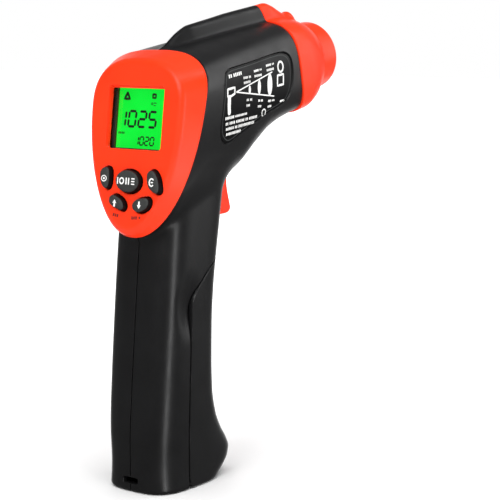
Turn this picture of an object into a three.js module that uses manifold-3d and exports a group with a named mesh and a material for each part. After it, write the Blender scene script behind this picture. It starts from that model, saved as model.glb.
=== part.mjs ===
// Pistol-shaped infrared thermometer, standing on the foot of its handle.
// Millimetres. +X is the way it aims, +Y its left side, +Z up.
// Side-view dimensions run from the back edge of the foot; footCentre moves the
// frame's origin to the middle of the housing's own foot at the very end.
import * as THREE from "three";
import { mergeVertices } from "three/addons/utils/BufferGeometryUtils.js";
import Module from "manifold-3d";

const wasm = await Module();
wasm.setup();

// ---------- driving dimensions ----------
const gap = 0.3; // clearance between neighbouring pieces
const wall = 2; // thickness of the moulded shells
const footCentre = 8.5;
const barrelPitch = THREE.MathUtils.degToRad(8.5); // the barrel points up a little
const panelTilt = THREE.MathUtils.degToRad(7.4); // the display panel leans forward
const rimTilt = THREE.MathUtils.degToRad(12.66); // back edge of the bezel
const panelOrigin = [5.06, 0, 144];
const barrelOrigin = [0, 0, 150];
const seam = 0.15; // half of the gap between the two housing halves

// Egg-shaped outlines: half width, height above and below the widest line, and how
// square the upper and lower parts are (2 is an ellipse).
const faceEgg = { across: 21.7, above: 18.6, below: 45.4, upper: 2.6, lower: 1.9 };
const rimEgg = { across: 26.5, above: 19.4, below: 51.4, upper: 3, lower: 2.08 };
const collarEgg = { across: 19, above: 19.5, below: 19.5, upper: 3, lower: 3 };
const rimCentre = [14.2, 147];
const collarStation = 84; // along the barrel, where the black head ends
const noseAxis = -5; // height of the nose's axis in the barrel's frame
const noseEnd = 118;
const noseRadius = 14;
const boreRadius = 11.8;

// Handle: [height, back, front] of its outline, from the foot up.
const handleStations = [
  [1.5, 0, 41], [4, 0, 44], [7.5, 0, 47.2], [10.5, 0, 48], [14, 0, 46.4],
  [19, 0, 42.8], [26, 0.3, 39.1], [36, 1.1, 36.8], [48, 2.1, 36.3], [62, 3.4, 36.4],
  [76, 4.7, 37.4], [90, 6, 39.5], [102, 7.2, 41.6], [124, 9.4, 45],
];
const handleHalfWidth = 16.5;
const handleRoundness = 3.2;

// Battery door: its seam in side view, from the foot up to the front of the grip.
const doorSeam = [
  [15.7, -2], [15.7, 25], [16.6, 47], [17.3, 63], [17.6, 70], [20, 75.8], [27, 82.5],
  [33, 86.3], [41, 89],
];
const doorHinge = { x: 20.5, z: 4.6 };
const doorEar = { radius: 3.2, from: 9.6, to: 12.6 };
const hingeArm = { from: 6.2, to: 9.3 };

const triggerPivot = { x: 46, z: 120.5 };
const triggerHalfWidth = 4.9;
const switchHeight = 111;
const springHeight = 104.4;

// Display stack: distances inwards from the panel's face, heights along the panel.
const windowHalf = { across: 13.4, up: 11.7 };
const windowHeight = -2.7;
const boardDepth = 10.5;

// Keys: [name, across, up, half width, half height, turn in degrees]
const keys = [
  ["key_laser", 11.5, -25.4, 2.6, 4.1, -8],
  ["key_mode", 0, -26, 5.5, 4.1, 0],
  ["key_emissivity", -11.5, -25.4, 2.6, 4.1, 8],
  ["key_up", 6, -34.4, 3.9, 2.8, 18],
  ["key_down", -6, -34.4, 3.9, 2.8, -18],
];
const keyProud = 2.3;
const keyFlange = 0.6;

// Housing screws, driven in from the left: [x, z].
const screws = [[33, 163], [73, 167], [70, 140], [31, 95.5], [13, 75]];
const bossRadius = 3.2;
const screwHead = { radius: 2.7, height: 1.8 };
const shankRadius = 1.3;

const battery = { x: [11, 28.5], z: [8.2, 54.7], halfWidth: 13.25 };

// ---------- solids ----------
function solid(geometry) {
  const bare = geometry.clone();
  bare.deleteAttribute("normal");
  bare.deleteAttribute("uv");
  const merged = mergeVertices(bare, 1e-4);
  return new wasm.Manifold(new wasm.Mesh({
    numProp: 3,
    vertProperties: merged.attributes.position.array,
    triVerts: new Uint32Array(merged.index.array),
  }));
}

function geometryOf(body) {
  const mesh = body.getMesh();
  const geometry = new THREE.BufferGeometry();
  geometry.setAttribute("position", new THREE.Float32BufferAttribute(mesh.vertProperties, 3));
  geometry.setIndex(new THREE.BufferAttribute(mesh.triVerts, 1));
  return geometry;
}

const join = (bodies) => bodies.reduce((all, body) => all.add(body));

function box(x, y, z) {
  return new THREE.BoxGeometry(x[1] - x[0], y[1] - y[0], z[1] - z[0])
    .translate((x[0] + x[1]) / 2, (y[0] + y[1]) / 2, (z[0] + z[1]) / 2);
}

// A cylinder along X, Y or Z from one end to the other.
function rod(axis, radius, ends, at, sides = 16) {
  const geometry = new THREE.CylinderGeometry(radius, radius, ends[1] - ends[0], sides);
  geometry.translate(0, (ends[0] + ends[1]) / 2, 0);
  if (axis === "x") geometry.rotateZ(-Math.PI / 2).translate(0, at[0], at[1]);
  if (axis === "y") geometry.translate(at[0], 0, at[1]);
  if (axis === "z") geometry.rotateX(Math.PI / 2).translate(at[0], at[1], 0);
  return geometry;
}

// A closed skin through rings of equal point count, capped at both ends.
function loft(rings) {
  const count = rings[0].length;
  const points = rings.flat();
  const faces = [];
  for (let r = 0; r + 1 < rings.length; r++) {
    for (let i = 0; i < count; i++) {
      const a = r * count + i;
      const b = r * count + ((i + 1) % count);
      faces.push(a, b, b + count, a, b + count, a + count);
    }
  }
  for (const [ring, turned] of [[0, true], [rings.length - 1, false]]) {
    const centre = rings[ring].reduce((sum, p) => sum.clone().add(p)).divideScalar(count);
    points.push(centre);
    for (let i = 0; i < count; i++) {
      const a = ring * count + i;
      const b = ring * count + ((i + 1) % count);
      faces.push(...(turned ? [points.length - 1, b, a] : [points.length - 1, a, b]));
    }
  }
  const geometry = new THREE.BufferGeometry().setFromPoints(points);
  geometry.setIndex(faces);
  return geometry;
}

// A superellipse point: power 2 is an ellipse, a larger one is squarer.
function squircle(angle, across, up, power) {
  const c = Math.cos(angle);
  const s = Math.sin(angle);
  return [
    across * Math.sign(c) * Math.abs(c) ** (2 / power),
    up * Math.sign(s) * Math.abs(s) ** (2 / power),
  ];
}

// An egg in a plane square to the side view, leaning forward by tilt.
function eggRing(centre, tilt, egg, inset) {
  const ring = [];
  for (let i = 0; i < 36; i++) {
    const angle = (2 * Math.PI * (i + 0.5)) / 36;
    const [height, power] = Math.sin(angle) > 0 ? [egg.above, egg.upper] : [egg.below, egg.lower];
    const [y, v] = squircle(angle, egg.across - inset, height - inset, power);
    ring.push(new THREE.Vector3(centre[0] + v * Math.sin(tilt), y, centre[1] + v * Math.cos(tilt)));
  }
  return ring;
}

const mix = (a, b, t) => a + (b - a) * t;
const mixEgg = (a, b, t) =>
  Object.fromEntries(Object.keys(a).map((key) => [key, mix(a[key], b[key], t)]));

const panelMatrix = new THREE.Matrix4().makeRotationY(panelTilt).setPosition(...panelOrigin);
const barrelMatrix = new THREE.Matrix4().makeRotationY(-barrelPitch).setPosition(...barrelOrigin);
const onPanel = (geometry) => solid(geometry.applyMatrix4(panelMatrix));
const onBarrel = (geometry) => solid(geometry.applyMatrix4(barrelMatrix));

// ---------- head ----------
// The underside climbs from the bezel to the collar: [station, depth below the centre].
const underside = [
  [0, 51.4], [0.25, 41.5], [0.5, 35.8], [0.625, 28.6], [0.75, 22.9], [0.875, 20.4], [1, 19.5],
];

function along(table, t) {
  let k = 0;
  while (k + 2 < table.length && table[k + 1][0] < t) k++;
  const [t0, v0] = table[k];
  const [t1, v1] = table[k + 1];
  return mix(v0, v1, (t - t0) / (t1 - t0));
}

function headRing(t, inset) {
  const collarX = collarStation * Math.cos(barrelPitch) - noseAxis * Math.sin(barrelPitch);
  const collarZ = barrelOrigin[2] + collarStation * Math.sin(barrelPitch)
    + noseAxis * Math.cos(barrelPitch);
  const centre = [mix(rimCentre[0], collarX, t), mix(rimCentre[1], collarZ, t)];
  const egg = mixEgg(rimEgg, collarEgg, t);
  egg.below = along(underside, t);
  return eggRing(centre, mix(rimTilt, -barrelPitch, t), egg, inset);
}

function headSkin(inset, from, to) {
  const rings = [];
  for (let k = 0; k <= 8; k++) rings.push(headRing(mix(from, to, k / 8), inset));
  return solid(loft(rings));
}

// The rib along the top, in the barrel's frame: [station, top height, half width].
const ridgeStations = [[24, 12.6, 1.6], [29.5, 15.6, 2.8], [36.8, 18, 4], [43, 19.4, 4.6], [84, 20.8, 5.6]];

function ridgeRing(station, top, across, inset) {
  const ring = [];
  for (let i = 0; i < 16; i++) {
    const [y, v] = squircle((2 * Math.PI * i) / 16, across - inset, top - inset - 6, 2.4);
    ring.push(new THREE.Vector3(station, y, 6 + v));
  }
  return ring;
}

const ridge = (stations, inset) =>
  onBarrel(loft(stations.map(([s, top, across]) => ridgeRing(s, top, across, inset))));

// ---------- handle ----------
function handleRing(z, back, front, inset) {
  const ring = [];
  for (let i = 0; i < 28; i++) {
    const angle = (2 * Math.PI * (i + 0.5)) / 28;
    const half = (front - back) / 2 - inset;
    const [x, y] = squircle(angle, half, handleHalfWidth - inset, handleRoundness);
    ring.push(new THREE.Vector3((back + front) / 2 + x, y, z));
  }
  return ring;
}

const handleOuter = solid(loft([
  handleRing(0, 0, 39.6, 1.4),
  ...handleStations.map(([z, back, front]) => handleRing(z, back, front, 0)),
]));
const handleInner = solid(loft([
  handleRing(wall, 0, 41.5, wall + 0.6),
  ...handleStations.slice(2).map(([z, back, front]) => handleRing(z, back, front, wall)),
  handleRing(130, 10, 45.6, wall),
]));

// ---------- housing and battery door ----------
function doorPrism(grow) {
  const outline = new THREE.Shape();
  doorSeam.forEach(([x, z], k) => (k ? outline.lineTo(x - grow, z + grow) : outline.moveTo(x - grow, z)));
  outline.lineTo(60, 89 + grow);
  outline.lineTo(60, -2);
  const geometry = new THREE.ExtrudeGeometry(outline, { depth: 40, bevelEnabled: false });
  return solid(geometry.rotateX(Math.PI / 2).translate(0, 20, 0));
}

const shellOuter = join([
  headSkin(0.5, 0.005, 0.997),
  ridge(ridgeStations.slice(0, 4).concat([[83.7, 20.8, 5.6]]), 0),
  handleOuter,
]);
const shellInner = join([
  headSkin(0.5 + wall, -0.02, 1.02),
  ridge([[34, 16.6, 2.4], [86, 18.6, 3.6]], 0.4),
  handleInner,
]);

// A boss that reaches from near the seam out to the shell, on one side.
function boss(sign, inner, outer, x, z, radius) {
  return solid(rod("y", radius, sign > 0 ? [inner, outer] : [-outer, -inner], [x, z]));
}

// Everything that one half of the housing carries inside, cut to the outer shape.
function insideOf(sign) {
  const bosses = screws.map(([x, z]) => boss(sign, seam, 30, x, z, bossRadius));
  const pivotBoss = boss(sign, triggerHalfWidth + 0.6, 30, triggerPivot.x, triggerPivot.z, 3.4);
  const y = sign > 0 ? [hingeArm.from, hingeArm.to] : [-hingeArm.to, -hingeArm.from];
  const arm = join([
    solid(box([1, doorHinge.x], y, [2.4, doorHinge.z + 1.3])),
    solid(rod("y", 3, y, [doorHinge.x, doorHinge.z])),
  ]);
  const shelfY = sign > 0 ? [seam, 18] : [-18, -seam];
  const springPost = solid(box([25, 27], shelfY, [101.5, 107]));
  return join([...bosses, pivotBoss, arm, springPost]);
}

const doorOpening = doorPrism(gap);
const hingePinHole = solid(rod("y", 1.58, [-13, 13], [doorHinge.x, doorHinge.z]));
const triggerPinHole = solid(rod("y", 1.55, [-9.3, 9.3], [triggerPivot.x, triggerPivot.z]));
const triggerSlot = solid(box([36, 55.6], [-5.4, 5.4], [100.8, 126]));
const strapSlot = solid(box([-3, 4], [-3.6, 3.6], [3.5, 5.7]));
const fingerScoop = (sign) =>
  solid(new THREE.SphereGeometry(1, 24, 16).scale(3.8, 2.3, 8.5).translate(13.6, sign * 17.7, 69));

// The spec plate's outline on the side of the head, in side view.
function platePrism(grow, depth) {
  const corners = [
    [29.6, 158.9], [66, 164], [72.5, 163], [75.8, 158.5], [76.3, 152.5], [73.5, 146.5],
    [67, 142.2], [31, 131.7], [26.8, 133.2], [25.8, 138],
  ];
  const middle = [52, 149];
  const outline = new THREE.Shape(corners.map(([x, z]) => new THREE.Vector2(
    x + grow * Math.sign(x - middle[0]),
    z + grow * Math.sign(z - middle[1]),
  )));
  const geometry = new THREE.ExtrudeGeometry(outline, { depth, bevelEnabled: false });
  return solid(geometry.rotateX(Math.PI / 2).translate(0, -10, 0));
}
const plateBand = (outerInset, innerInset) =>
  headSkin(outerInset, 0.005, 0.997).subtract(headSkin(innerInset, -0.02, 1.02));
const platePocket = platePrism(gap, 25).intersect(plateBand(-1, 1.4));

const screwAt = screws.map(([x, z]) => {
  const column = solid(rod("y", 0.5, [0, 40], [x, z], 8)).intersect(shellOuter);
  return { x, z, seat: column.boundingBox().max[1] - 4.2 };
});

function housing(sign) {
  const half = solid(box([-20, 140], sign > 0 ? [seam, 40] : [-40, -seam], [-5, 200]));
  let body = shellOuter.subtract(shellInner).add(insideOf(sign).intersect(shellOuter));
  for (const cut of [doorOpening, triggerSlot, triggerPinHole, strapSlot, fingerScoop(sign)]) {
    body = body.subtract(cut);
  }
  const armBox = solid(box([14, 30], [-20, 20], [0.5, 9]));
  body = body.add(insideOf(sign).intersect(armBox).intersect(shellOuter)).subtract(hingePinHole);
  if (sign < 0) body = body.subtract(platePocket);
  for (const { x, z, seat } of screwAt) {
    if (sign > 0) {
      body = body.subtract(solid(rod("y", screwHead.radius + gap, [seat, 40], [x, z])));
      body = body.subtract(solid(rod("y", shankRadius + gap, [-1, 40], [x, z])));
    } else {
      body = body.subtract(solid(rod("y", shankRadius + gap, [-8, 1], [x, z])));
    }
  }
  return body.intersect(half);
}

function batteryDoor() {
  const skin = handleOuter.intersect(doorPrism(0)).subtract(handleInner);
  const ears = [-1, 1].map((sign) => {
    const y = sign > 0 ? [doorEar.from, doorEar.to] : [-doorEar.to, -doorEar.from];
    return join([
      solid(rod("y", doorEar.radius, y, [doorHinge.x, doorHinge.z])),
      solid(box([doorHinge.x, doorHinge.x + 6], y, [1, doorHinge.z + 1])),
    ]);
  });
  const armSlots = [-1, 1].map((sign) => {
    const y = sign > 0
      ? [hingeArm.from - gap, hingeArm.to + gap]
      : [-hingeArm.to - gap, -hingeArm.from + gap];
    return join([
      solid(rod("y", 3 + gap, y, [doorHinge.x, doorHinge.z])),
      solid(box([10, doorHinge.x], y, [-1, doorHinge.z + 3])),
      solid(box([10, doorHinge.x + 2.4], y, [-1, doorHinge.z - 1])),
    ]);
  });
  const heel = solid(box([10, doorHinge.x], [-20, 20], [-1, doorHinge.z]))
    .subtract(solid(rod("y", 4.6, [-20, 20], [doorHinge.x, doorHinge.z], 48)));
  let body = join([skin, ...ears]).subtract(hingePinHole).subtract(heel);
  for (const slot of armSlots) body = body.subtract(slot);
  return body;
}

// ---------- bezel, keys and display ----------
function bezelRing(t, inset) {
  const egg = mixEgg(faceEgg, rimEgg, t);
  const centre = [mix(panelOrigin[0], rimCentre[0], t), mix(panelOrigin[2], rimCentre[1], t)];
  return eggRing(centre, mix(panelTilt, rimTilt, t), egg, inset);
}

function keySolid([across, up, halfWidth, halfHeight, turn], grow, depths) {
  const outline = new THREE.Shape();
  outline.absellipse(0, 0, halfWidth + grow, halfHeight + grow, 0, 2 * Math.PI);
  const geometry = new THREE.ExtrudeGeometry(outline, {
    depth: depths[1] - depths[0], bevelEnabled: false, curveSegments: 10,
  });
  return geometry
    .rotateZ(THREE.MathUtils.degToRad(turn))
    .rotateX(Math.PI / 2).rotateZ(Math.PI / 2)
    .translate(depths[0], across, up);
}

function bezel() {
  const outer = solid(loft([
    bezelRing(0, 2.2), bezelRing(0.06, 0.7), bezelRing(0.2, 0), bezelRing(0.6, 0), bezelRing(0.98, 0),
  ]));
  const hollow = solid(loft([bezelRing(-0.1, 2.2), bezelRing(0.5, 2.2), bezelRing(1.05, 2.2)]))
    .intersect(onPanel(box([3, 30], [-30, 30], [-60, 30])));
  let body = outer.subtract(hollow).subtract(onPanel(box(
    [-3, 4], [-windowHalf.across, windowHalf.across],
    [windowHeight - windowHalf.up, windowHeight + windowHalf.up],
  )));
  for (const [, ...place] of keys) body = body.subtract(onPanel(keySolid(place, gap, [-3, 4])));
  return body;
}

function key(place) {
  return join([
    solid(keySolid(place, -0.5, [-keyProud, -keyProud + 0.6])),
    solid(keySolid(place, 0, [-keyProud + 0.6, 3.6])),
    solid(keySolid(place, keyFlange, [3.35, 4.4])),
  ]);
}

// A flat plate in the outline of the panel's face, in the panel's own frame.
const eggPlate = (inset, depths) =>
  solid(loft(depths.map((depth) => eggRing([depth, 0], 0, faceEgg, inset))));

function keypadMembrane() {
  const sheet = eggPlate(4.2, [5.5, 6.5]).intersect(solid(box([5, 7], [-20, 20], [-39.5, -19.5])));
  const posts = keys.map(([, across, up]) =>
    solid(rod("x", 1.5, [6.3, boardDepth - gap], [across, up], 12)));
  return join([sheet, ...posts]);
}

function displayFrame() {
  const outer = box([4.5, boardDepth - gap], [-15.7, 15.7], [-17.4, 11.3]);
  const tray = box([5.4, 12], [-14.8, 14.8], [-16.5, 10.4]);
  const opening = box([4, 6], [-12.9, 12.9], [windowHeight - 11.2, windowHeight + 11.2]);
  return solid(outer).subtract(solid(tray)).subtract(solid(opening));
}

// ---------- nose ----------
// The collar: [station, half width, half height, squareness] and its rib on top.
const collarStations = [
  [collarStation, 19, 19.5, 3], [92, 18.6, 19.2, 2.8], [99, 17.8, 18.4, 2.5], [106, 16, 16.4, 2.2],
];
const collarRidge = [[84, 20.8, 5.6], [87.5, 21, 5.8], [91.5, 18.8, 5.6], [96, 16.2, 5], [99, 12.5, 4]];

function collarRings(inset, shift) {
  return collarStations.map(([station, across, up, power]) => {
    const ring = [];
    for (let i = 0; i < 32; i++) {
      const [y, v] = squircle((2 * Math.PI * (i + 0.5)) / 32, across - inset, up - inset, power);
      ring.push(new THREE.Vector3(station + shift, y, noseAxis + v));
    }
    return ring;
  });
}

function noseCollar() {
  const outer = onBarrel(loft(collarRings(0, 0))).add(ridge(collarRidge, 0));
  const hollow = onBarrel(loft(collarRings(wall, -2)))
    .add(ridge([[83, 18.4, 3.4], [90, 16.6, 3.4], [94, 13, 2.6]], 0));
  const mouth = onBarrel(rod("x", noseRadius + gap, [100, 110], [0, noseAxis], 48));
  return outer.subtract(hollow).subtract(mouth);
}

// A plain ring around the nose's axis, chamfered at its open end.
function noseRing() {
  const profile = [
    [boreRadius, 97], [noseRadius, 97], [noseRadius, noseEnd - 1], [noseRadius - 1, noseEnd],
    [boreRadius + 0.6, noseEnd], [boreRadius, noseEnd - 0.6],
  ];
  return turned(profile, 40);
}

// A turned piece along the barrel's axis at the nose: [radius, station] points.
function turned(profile, sides) {
  const points = [...profile, profile[0]].map(([r, s]) => new THREE.Vector2(r, s));
  return new THREE.LatheGeometry(points, sides).rotateZ(-Math.PI / 2).rotateX(Math.PI);
}

const lensAxis = -2.4; // below the nose's axis
const laserAxis = 8.7;

// ---------- small parts ----------
function trigger() {
  const outline = new THREE.Shape([
    [54, 117], [54.5, 112.6], [55.5, 109], [56.5, 105.6], [56.7, 103.2], [55.6, 101.6], [52.5, 101.2],
    [41, 101.7], [38.3, 103], [36.9, 108], [36.9, 116.5], [40, 122], [43, 124], [46, 124.8],
    [49.5, 123.6], [52.6, 120.6],
  ].map(([x, z]) => new THREE.Vector2(x, z)));
  const depth = 2 * triggerHalfWidth;
  const plate = new THREE.ExtrudeGeometry(outline, { depth, bevelEnabled: false });
  const body = solid(plate.rotateX(Math.PI / 2).translate(0, triggerHalfWidth, 0));
  const pocket = solid(rod("x", 3, [30, 40.2], [0, springHeight]));
  return body.subtract(solid(rod("y", 1.55, [-10, 10], [triggerPivot.x, triggerPivot.z])))
    .subtract(pocket);
}

class Helix extends THREE.Curve {
  constructor(radius, length, turns) {
    super();
    Object.assign(this, { radius, length, turns });
  }

  getPoint(t, target = new THREE.Vector3()) {
    const angle = 2 * Math.PI * this.turns * t;
    return target.set(this.length * t, this.radius * Math.cos(angle), this.radius * Math.sin(angle));
  }
}

function wire(path, radius, steps, sides = 6) {
  const section = new THREE.Shape();
  section.absellipse(0, 0, radius, radius, 0, 2 * Math.PI);
  return new THREE.ExtrudeGeometry(section, { steps, extrudePath: path, curveSegments: sides / 2 });
}

const route = (...points) => new THREE.CatmullRomCurve3(points.map((p) => new THREE.Vector3(...p)));

function batteryBody() {
  const can = solid(box(battery.x, [-battery.halfWidth, battery.halfWidth], battery.z));
  const middle = (battery.x[0] + battery.x[1]) / 2;
  const terminals = [[-6.3, 2.9], [6.3, 4]].map(([y, radius]) =>
    solid(rod("z", radius, [battery.z[1] - 0.5, battery.z[1] + 2.2], [middle, y])));
  return join([can, ...terminals]);
}

function batterySnap() {
  const middle = (battery.x[0] + battery.x[1]) / 2;
  const bottom = battery.z[1] + gap;
  let cap = solid(box([middle - 6, middle + 6], [-12.5, 12.5], [bottom, bottom + 5]));
  for (const y of [-6.3, 6.3]) {
    cap = cap.subtract(solid(rod("z", 4.4, [bottom - 1, bottom + 2.4], [middle, y])));
  }
  return cap;
}

function triggerSwitch() {
  const body = box([26, 33], [-3.2, 3.2], [switchHeight - 3, switchHeight + 4]);
  return solid(body).subtract(solid(rod("x", 1.3, [28, 34], [0, switchHeight])));
}

function housingScrew({ x, z, seat }) {
  const driveSlot = solid(box([x - 3, x + 3], [seat + 1.2, seat + 3], [z - 0.4, z + 0.4]));
  return join([
    solid(rod("y", screwHead.radius, [seat + 0.1, seat + 0.1 + screwHead.height], [x, z])),
    solid(rod("y", shankRadius, [-6.5, seat + 0.5], [x, z], 16)),
  ]).subtract(driveSlot);
}

// ---------- materials ----------
const finish = (color, roughness, metalness = 0) => ({ color, roughness, metalness });
const finishes = {
  black: finish(0x2b2b2d, 0.42),
  orange: finish(0xf4421f, 0.38),
  keyGrey: finish(0x3a3a3c, 0.6),
  rubber: finish(0x2a2a2a, 0.8),
  glass: finish(0xdfe8e4, 0.05),
  green: finish(0x18f03c, 0.3),
  white: finish(0xf2f2ee, 0.5),
  board: finish(0x1f6b3a, 0.5),
  steel: finish(0xb9bcc0, 0.3, 1),
  brass: finish(0xc9a24a, 0.3, 1),
  aluminium: finish(0xc4c7ca, 0.35, 1),
  plate: finish(0x141415, 0.35),
  red: finish(0xc21a16, 0.5),
  batteryRed: finish(0xb3202a, 0.35),
};

const thermometer = new THREE.Group();
const panel = new THREE.Group();
panel.applyMatrix4(panelMatrix);
const barrel = new THREE.Group();
barrel.applyMatrix4(barrelMatrix);
thermometer.add(panel, barrel);

function put(group, name, shape, look) {
  const geometry = shape.isBufferGeometry ? shape : geometryOf(shape);
  const mesh = new THREE.Mesh(geometry, new THREE.MeshStandardMaterial(finishes[look]));
  mesh.name = name;
  group.add(mesh);
}

// Shells and covers
put(thermometer, "housing_left", housing(1), "black");
put(thermometer, "housing_right", housing(-1), "black");
put(thermometer, "battery_door", batteryDoor(), "black");
put(thermometer, "display_bezel", bezel(), "orange");
put(thermometer, "nose_collar", noseCollar(), "orange");
const plate = platePrism(0, 25).intersect(plateBand(0.8, 1.2));
put(thermometer, "spec_plate", plate, "plate");
screwAt.forEach((place, k) => put(thermometer, `housing_screw_${k + 1}`, housingScrew(place), "steel"));

// Display panel
put(panel, "display_window", box([3.3, 4.2], [-14.8, 14.8], [-15.8, 10.3]), "glass");
put(panel, "display_frame", displayFrame(), "plate");
put(panel, "lcd_glass", box([5.7, 7.2], [-14.4, 14.4], [-16.1, 10]), "green");
put(panel, "backlight", box([7.5, 9.3], [-14.2, 14.2], [-12.4, 9.8]), "white");
put(panel, "zebra_strip", box([7.5, boardDepth - gap], [-13.8, 13.8], [-15.8, -13.4]), "rubber");
for (const [name, ...place] of keys) put(panel, name, key(place), "keyGrey");
put(panel, "keypad_membrane", keypadMembrane(), "rubber");
const board = eggPlate(4.5, [boardDepth, boardDepth + 1.6])
  .intersect(solid(box([0, 20], [-18, 18], [-41, 13])));
put(panel, "main_board", board, "board");
put(panel, "buzzer", rod("x", 5.8, [12.4, 16.6], [8, -4], 32), "plate");

// Nose and optics, all along the barrel
const alongNose = (geometry, rise = 0) => geometry.translate(0, 0, noseAxis + rise);
put(barrel, "nose_ring", alongNose(noseRing()), "orange");
const aperturePlate = solid(turned([[0.01, 107.2], [boreRadius - gap, 107.2],
  [boreRadius - gap, 109.6], [0.01, 109.6]], 48).translate(0, 0, noseAxis))
  .subtract(solid(rod("x", 7, [100, 112], [0, noseAxis + lensAxis], 40)))
  .subtract(solid(rod("x", 1.6, [100, 112], [0, noseAxis + laserAxis])));
put(barrel, "aperture_plate", aperturePlate, "plate");
const tube = [[7.2, 70], [8, 70], [8, 106.8], [7.2, 106.8]];
put(barrel, "sensor_tube", alongNose(turned(tube, 28), lensAxis), "aluminium");
const lens = new THREE.LatheGeometry([[0.001, 107.9], [3.5, 108.2], [6.6, 109.1], [6.6, 107.3],
  [0.001, 107.3], [0.001, 107.9]].reverse().map(([r, s]) => new THREE.Vector2(r, s)), 28);
put(barrel, "ir_lens", alongNose(lens.rotateZ(-Math.PI / 2).rotateX(Math.PI), lensAxis), "white");
put(barrel, "thermopile", rod("x", 4.6, [70.5, 75], [0, noseAxis + lensAxis], 32), "steel");
put(barrel, "sensor_board", rod("x", 9.4, [67.6, 69.2], [0, noseAxis + lensAxis], 40), "board");
put(barrel, "laser_module", rod("x", 2.6, [88, 106.8], [0, noseAxis + laserAxis], 24), "brass");

// Trigger and its switch
put(thermometer, "trigger", trigger(), "orange");
put(thermometer, "trigger_pin", rod("y", 1.5, [-9, 9], [triggerPivot.x, triggerPivot.z]), "steel");
put(thermometer, "trigger_spring",
  wire(new Helix(2.2, 12.2, 6), 0.3, 54, 4).translate(27.4, 0, springHeight), "steel");
put(thermometer, "trigger_switch", triggerSwitch(), "plate");
put(thermometer, "switch_plunger", rod("x", 1, [30.5, 36.5], [0, switchHeight], 16), "red");

// Power
put(thermometer, "door_hinge_pin",
  rod("y", 1.5, [-12.6, 12.6], [doorHinge.x, doorHinge.z]), "steel");
put(thermometer, "battery", batteryBody(), "batteryRed");
put(thermometer, "battery_snap", batterySnap(), "plate");
for (const [name, side, look] of [["battery_lead_red", 1, "red"], ["battery_lead_black", -1, "plate"]]) {
  const path = route([19.75, side * 5, battery.z[1] + 5.6], [20, side * 5, 65], [22, side * 6, 76],
    [21, side * 6.5, 92], [16, side * 5, 104], [13.9, side * 5, 109]);
  put(thermometer, name, wire(path, 0.6, 18), look);
}
const sensorLead = route([22.5, 0, 152], [34, 0, 150], [50, 0, 152], [65.6, 0, 154]);
put(thermometer, "sensor_lead", wire(sensorLead, 1, 16), "rubber");
const laserLead = route([22, -6, 155], [34, -7, 156.5], [55, -6, 160], [73, -5.5, 161.6],
  [80, -3, 164], [86, 0, 166.5]);
put(thermometer, "laser_lead", wire(laserLead, 0.6, 20), "red");
const switchLead = route([17.5, 0, 124], [20, 0, 121], [25, 0, 118.5], [29, 0, 115.4]);
put(thermometer, "switch_lead", wire(switchLead, 0.6, 12), "red");

thermometer.position.x = -footCentre;

export default thermometer;
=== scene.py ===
import math

import bpy
import numpy as np
import openvdb
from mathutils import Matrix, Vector


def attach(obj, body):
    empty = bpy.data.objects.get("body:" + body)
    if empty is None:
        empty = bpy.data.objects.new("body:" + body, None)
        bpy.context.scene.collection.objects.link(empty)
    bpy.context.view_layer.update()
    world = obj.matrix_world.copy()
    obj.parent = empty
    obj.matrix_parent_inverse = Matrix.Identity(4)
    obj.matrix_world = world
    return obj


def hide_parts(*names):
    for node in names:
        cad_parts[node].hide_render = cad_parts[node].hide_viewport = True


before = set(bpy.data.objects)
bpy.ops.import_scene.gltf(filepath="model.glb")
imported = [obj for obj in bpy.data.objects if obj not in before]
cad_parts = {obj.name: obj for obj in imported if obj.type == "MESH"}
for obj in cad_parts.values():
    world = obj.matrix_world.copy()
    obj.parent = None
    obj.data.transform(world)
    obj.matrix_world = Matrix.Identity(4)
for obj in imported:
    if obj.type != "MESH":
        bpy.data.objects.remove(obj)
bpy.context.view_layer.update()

# Shapes are worked out in millimetres, with x from the back edge of the foot.
FOOT_CENTRE = 8.5
BARREL_PITCH = math.radians(8.5)
PANEL_TILT = math.radians(7.4)
RIM_TILT = math.radians(12.66)  # of the plane where the bezel meets the housing
PANEL_ORIGIN = np.array([5.06, 0, 144])
RIM_CENTRE = np.array([14.2, 0, 147])
RIM_ACROSS, RIM_ABOVE, RIM_BELOW, RIM_POWER = 26.5, 19.4, 51.4, 2.08
BARREL_RISE = 150  # the height of the barrel's line, straight above the foot's back edge
NOSE_AXIS = -5  # how far above that line the nose's axis lies
COLLAR_STATION = 84.0
RIDGE_BACK, RIDGE_MIDDLE = 19, 6
HALF_WIDTH = 16.5
HANDLE_TOP = 124
SKIN_INSET = 0.5  # the head is this much slimmer than the rim that the bezel meets
WALL = 1.8
SHARP_EDGE = math.radians(38)
FAR = 30  # the value of a hole's field on the side of the object without that hole


# ---------- shape functions ----------
def curve(table):
    """A smooth function through rows of [position, value, ...] that never overshoots."""
    rows = np.array(table, float)
    x, y = rows[:, 0], rows[:, 1:]
    step = np.diff(x)[:, None]
    rise = np.diff(y, axis=0) / step
    slope = np.vstack([rise[:1], np.zeros((len(x) - 2, y.shape[1])), rise[-1:]])
    before, after = rise[:-1], rise[1:]
    same = before * after > 0
    slope[1:-1][same] = 2 * before[same] * after[same] / (before[same] + after[same])

    def at(t):
        t = np.clip(t, x[0], x[-1])
        k = np.clip(np.searchsorted(x, t, side="right") - 1, 0, len(x) - 2)
        h = step[k]
        u = (t - x[k])[:, None] / h
        value = ((1 + 2 * u) * (1 - u) ** 2 * y[k] + u * (1 - u) ** 2 * h * slope[k]
                 + u * u * (3 - 2 * u) * y[k + 1] + u * u * (u - 1) * h * slope[k + 1])
        return value.T

    return at


def mix(a, b, t):
    return a + (b - a) * t


def unit(v):
    return v / np.linalg.norm(v, axis=-1, keepdims=True)


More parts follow.
